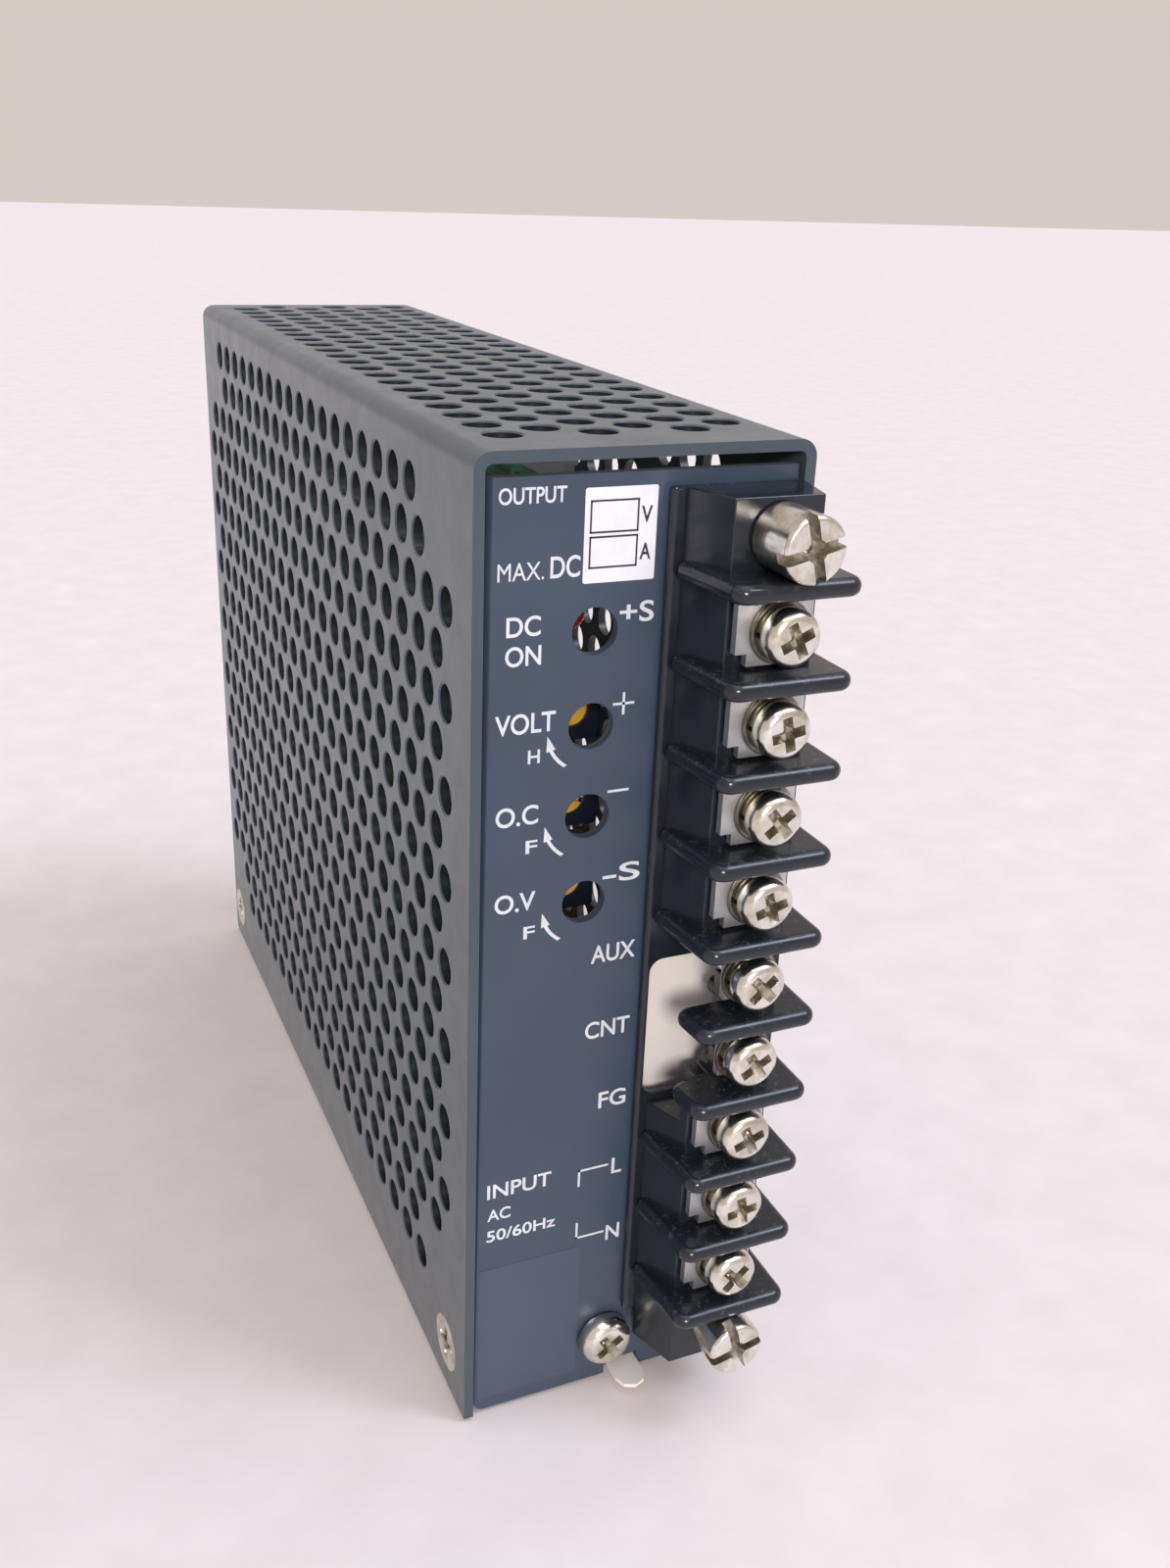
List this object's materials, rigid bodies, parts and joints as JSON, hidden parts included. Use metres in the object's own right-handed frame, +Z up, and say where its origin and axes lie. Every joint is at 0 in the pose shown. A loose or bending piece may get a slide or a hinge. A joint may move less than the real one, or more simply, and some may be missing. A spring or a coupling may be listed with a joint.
{
  "type": "enclosed switching power supply",
  "caption": "Slim upright power supply: perforated sheet-steel cover, recessed front panel with trimmers and indicator, and a black barrier screw terminal block down the front.",
  "frame": {"origin": "middle of the case footprint at base level, on the underside of the chassis floor", "axes": "+X to the right seen from the front, +Y from the front panel to the rear wall, +Z up"},
  "size_m": [0.031, 0.1238, 0.0985],
  "materials": {
    "painted_steel": "slate grey paint on folded sheet steel",
    "block_plastic": "glossy black phenolic moulding",
    "nickel_steel": "bright nickel plate on steel",
    "tinned_brass": "dull tin plate on brass",
    "insulating_film": "ivory insulating film",
    "circuit_board": "green solder mask on glass laminate",
    "blue_plastic": "dark blue moulding",
    "yellow_plastic": "yellow moulding",
    "red_resin": "red tinted epoxy",
    "ferrite": "sintered ferrite",
    "winding_tape": "yellow polyester tape over copper wire",
    "capacitor_sleeve": "dark shrink sleeve",
    "black_epoxy": "moulded black epoxy",
    "aluminium": "plain aluminium plate",
    "fuse_glass": "glass tube with plated end caps"
  },
  "bodies": {
    "case": {"base_insulator": "insulating_film", "bulk_capacitor": "capacitor_sleeve", "chassis": "painted_steel", "cover": "painted_steel", "cover_post_bottom": "nickel_steel", "cover_post_top": "nickel_steel", "cover_screw_left_front": "nickel_steel", "cover_screw_left_rear": "nickel_steel", "cover_screw_right_front": "nickel_steel", "cover_screw_right_rear": "nickel_steel", "filter_choke": "winding_tape", "front_panel": "painted_steel", "fuse": "fuse_glass", "heat_sink": "aluminium", "indicator_led": "red_resin", "input_filter_capacitor": "winding_tape", "main_board": "circuit_board", "output_capacitor_1": "capacitor_sleeve", "output_capacitor_2": "capacitor_sleeve", "output_rectifier": "black_epoxy", "panel_screw": "nickel_steel", "power_transistor": "black_epoxy", "terminal_block": "block_plastic", "terminal_board": "circuit_board", "terminal_plate_1": "tinned_brass", "terminal_plate_2": "tinned_brass", "terminal_plate_3": "tinned_brass", "terminal_plate_4": "tinned_brass", "terminal_plate_5": "tinned_brass", "terminal_plate_6": "tinned_brass", "terminal_plate_7": "tinned_brass", "terminal_plate_8": "tinned_brass", "terminal_plate_9": "tinned_brass", "transformer_core": "ferrite", "transformer_winding": "winding_tape", "trimmer_body_1": "blue_plastic", "trimmer_body_2": "blue_plastic", "trimmer_body_3": "blue_plastic", "window_insulator": "insulating_film"},
    "washer_1": {"terminal_washer_1": "nickel_steel"},
    "screw_1": {"terminal_screw_1": "nickel_steel"},
    "washer_2": {"terminal_washer_2": "nickel_steel"},
    "screw_2": {"terminal_screw_2": "nickel_steel"},
    "washer_3": {"terminal_washer_3": "nickel_steel"},
    "screw_3": {"terminal_screw_3": "nickel_steel"},
    "washer_4": {"terminal_washer_4": "nickel_steel"},
    "screw_4": {"terminal_screw_4": "nickel_steel"},
    "washer_5": {"terminal_washer_5": "nickel_steel"},
    "screw_5": {"terminal_screw_5": "nickel_steel"},
    "washer_6": {"terminal_washer_6": "nickel_steel"},
    "screw_6": {"terminal_screw_6": "nickel_steel"},
    "washer_7": {"terminal_washer_7": "nickel_steel"},
    "screw_7": {"terminal_screw_7": "nickel_steel"},
    "washer_8": {"terminal_washer_8": "nickel_steel"},
    "screw_8": {"terminal_screw_8": "nickel_steel"},
    "washer_9": {"terminal_washer_9": "nickel_steel"},
    "screw_9": {"terminal_screw_9": "nickel_steel"},
    "rotor_1": {"trimmer_rotor_1": "yellow_plastic"},
    "rotor_2": {"trimmer_rotor_2": "yellow_plastic"},
    "rotor_3": {"trimmer_rotor_3": "yellow_plastic"}
  },
  "joints": [
    {"name": "washer_1_slide", "type": "slide", "parent": "case", "child": "washer_1", "axis": [0, -1, 0], "range_m": [0, 0.002]},
    {"name": "screw_1_turn", "type": "hinge", "parent": "washer_1", "child": "screw_1", "pos_m": [0.0091, -0.06425, 0.0841], "axis": [0, -1, 0], "range_deg": [-5, 1445]},
    {"name": "washer_2_slide", "type": "slide", "parent": "case", "child": "washer_2", "axis": [0, -1, 0], "range_m": [0, 0.002]},
    {"name": "screw_2_turn", "type": "hinge", "parent": "washer_2", "child": "screw_2", "pos_m": [0.0091, -0.06425, 0.07593], "axis": [0, -1, 0], "range_deg": [-5, 1445]},
    {"name": "washer_3_slide", "type": "slide", "parent": "case", "child": "washer_3", "axis": [0, -1, 0], "range_m": [0, 0.002]},
    {"name": "screw_3_turn", "type": "hinge", "parent": "washer_3", "child": "screw_3", "pos_m": [0.0091, -0.06425, 0.06776], "axis": [0, -1, 0], "range_deg": [-5, 1445]},
    {"name": "washer_4_slide", "type": "slide", "parent": "case", "child": "washer_4", "axis": [0, -1, 0], "range_m": [0, 0.002]},
    {"name": "screw_4_turn", "type": "hinge", "parent": "washer_4", "child": "screw_4", "pos_m": [0.0091, -0.06425, 0.05959], "axis": [0, -1, 0], "range_deg": [-5, 1445]},
    {"name": "washer_5_slide", "type": "slide", "parent": "case", "child": "washer_5", "axis": [0, -1, 0], "range_m": [0, 0.002]},
    {"name": "screw_5_turn", "type": "hinge", "parent": "washer_5", "child": "screw_5", "pos_m": [0.0091, -0.06425, 0.05142], "axis": [0, -1, 0], "range_deg": [-5, 1445]},
    {"name": "washer_6_slide", "type": "slide", "parent": "case", "child": "washer_6", "axis": [0, -1, 0], "range_m": [0, 0.002]},
    {"name": "screw_6_turn", "type": "hinge", "parent": "washer_6", "child": "screw_6", "pos_m": [0.0091, -0.06425, 0.04325], "axis": [0, -1, 0], "range_deg": [-5, 1445]},
    {"name": "washer_7_slide", "type": "slide", "parent": "case", "child": "washer_7", "axis": [0, -1, 0], "range_m": [0, 0.002]},
    {"name": "screw_7_turn", "type": "hinge", "parent": "washer_7", "child": "screw_7", "pos_m": [0.0091, -0.06425, 0.03508], "axis": [0, -1, 0], "range_deg": [-5, 1445]},
    {"name": "washer_8_slide", "type": "slide", "parent": "case", "child": "washer_8", "axis": [0, -1, 0], "range_m": [0, 0.002]},
    {"name": "screw_8_turn", "type": "hinge", "parent": "washer_8", "child": "screw_8", "pos_m": [0.0091, -0.06425, 0.02691], "axis": [0, -1, 0], "range_deg": [-5, 1445]},
    {"name": "washer_9_slide", "type": "slide", "parent": "case", "child": "washer_9", "axis": [0, -1, 0], "range_m": [0, 0.002]},
    {"name": "screw_9_turn", "type": "hinge", "parent": "washer_9", "child": "screw_9", "pos_m": [0.0091, -0.06425, 0.01874], "axis": [0, -1, 0], "range_deg": [-5, 1445]},
    {"name": "trimmer_1_turn", "type": "hinge", "parent": "case", "child": "rotor_1", "pos_m": [-0.0043, -0.04765, 0.0745], "axis": [0, -1, 0], "range_deg": [-135, 135]},
    {"name": "trimmer_2_turn", "type": "hinge", "parent": "case", "child": "rotor_2", "pos_m": [-0.0043, -0.04765, 0.066], "axis": [0, -1, 0], "range_deg": [-135, 135]},
    {"name": "trimmer_3_turn", "type": "hinge", "parent": "case", "child": "rotor_3", "pos_m": [-0.0043, -0.04765, 0.0575], "axis": [0, -1, 0], "range_deg": [-135, 135]}
  ],
  "couplings": [
    {"joint": "screw_1_turn", "follows": "washer_1_slide", "rad_per_m": 12566},
    {"joint": "screw_2_turn", "follows": "washer_2_slide", "rad_per_m": 12566},
    {"joint": "screw_3_turn", "follows": "washer_3_slide", "rad_per_m": 12566},
    {"joint": "screw_4_turn", "follows": "washer_4_slide", "rad_per_m": 12566},
    {"joint": "screw_5_turn", "follows": "washer_5_slide", "rad_per_m": 12566},
    {"joint": "screw_6_turn", "follows": "washer_6_slide", "rad_per_m": 12566},
    {"joint": "screw_7_turn", "follows": "washer_7_slide", "rad_per_m": 12566},
    {"joint": "screw_8_turn", "follows": "washer_8_slide", "rad_per_m": 12566},
    {"joint": "screw_9_turn", "follows": "washer_9_slide", "rad_per_m": 12566}
  ]
}
